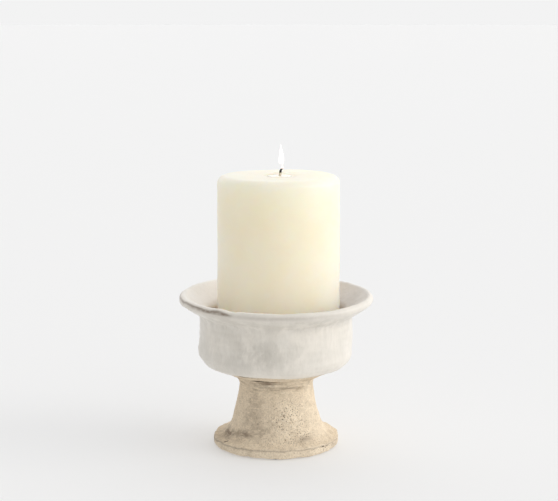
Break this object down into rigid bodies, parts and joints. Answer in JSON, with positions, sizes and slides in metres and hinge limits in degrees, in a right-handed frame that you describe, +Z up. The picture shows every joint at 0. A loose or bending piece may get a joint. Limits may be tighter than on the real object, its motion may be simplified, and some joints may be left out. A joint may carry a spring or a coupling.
{
  "type": "pillar candle holder",
  "caption": "Footed ceramic dish with a flared glazed lip on a bare clay pedestal, holding a pillar candle that lifts out.",
  "frame": {"origin": "centre of the foot on the surface it stands on, on the holder's axis", "axes": "+Z up along the holder's axis and the candle; the candle stands a little to the +X side"},
  "size_m": [0.1608, 0.1608, 0.2367],
  "materials": {
    "bare_clay": "unglazed sandy stoneware, matte, with fine dark specks",
    "glaze": "satin off-white glaze, mottled taupe where it runs thin",
    "felt": "pressed felt",
    "wax": "smooth ivory paraffin wax, translucent",
    "wick_cotton": "waxed braided cotton, charred at the tip",
    "sustainer_steel": "pressed tinned steel",
    "liquid_wax": "clear molten wax"
  },
  "bodies": {
    "holder": {"dish_bowl": "bare_clay", "dish_glaze": "glaze", "pedestal_foot": "bare_clay", "seam_slip": "bare_clay", "neck_coil": "bare_clay", "felt_pad_1": "felt", "felt_pad_2": "felt", "felt_pad_3": "felt", "felt_pad_4": "felt"},
    "candle": {"wax_pillar": "wax", "wick": "wick_cotton", "wick_sustainer": "sustainer_steel", "melt_pool": "liquid_wax"}
  },
  "joints": [
    {"name": "candle_lift", "type": "slide", "parent": "holder", "child": "candle", "axis": [0, 0, 1], "range_m": [0, 0.08]}
  ]
}
